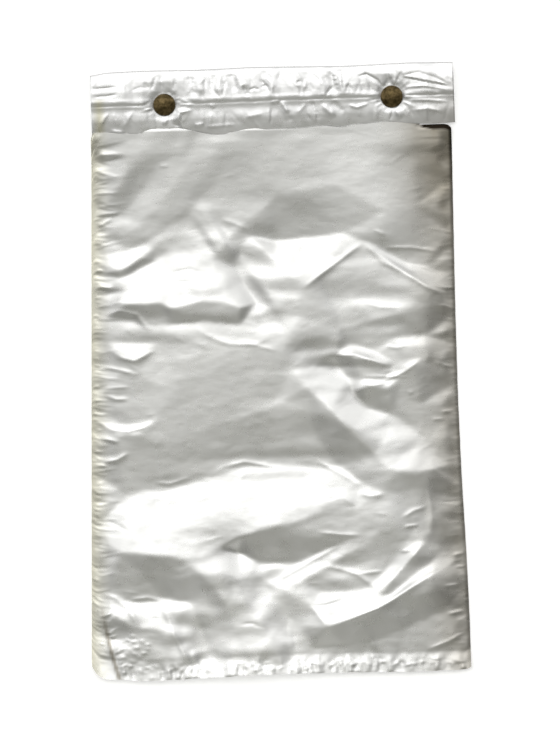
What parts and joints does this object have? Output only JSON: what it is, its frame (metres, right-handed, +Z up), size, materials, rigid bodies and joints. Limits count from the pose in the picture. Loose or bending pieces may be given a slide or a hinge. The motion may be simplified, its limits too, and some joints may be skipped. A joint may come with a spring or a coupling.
{
  "type": "flat plastic bag with folded header",
  "caption": "Flat empty film bag lying on its back, its neck held in a folded film header by domed press studs.",
  "frame": {"origin": "middle of the lying bag's box, at the ground under its back panel", "axes": "+X across the bag, +Y towards the header along the length, +Z up out of the front panel"},
  "size_m": [0.2564, 0.409, 0.0086],
  "materials": {
    "clear_film": "glossy crumpled film",
    "header_film": "glossy crumpled film",
    "antique_bronze": "dark antique bronze, satin"
  },
  "bodies": {
    "root": {"bag": "clear_film", "header_strip": "header_film", "left_stud_cap": "antique_bronze", "right_stud_cap": "antique_bronze", "left_stud_back": "antique_bronze", "right_stud_back": "antique_bronze"}
  },
  "joints": []
}
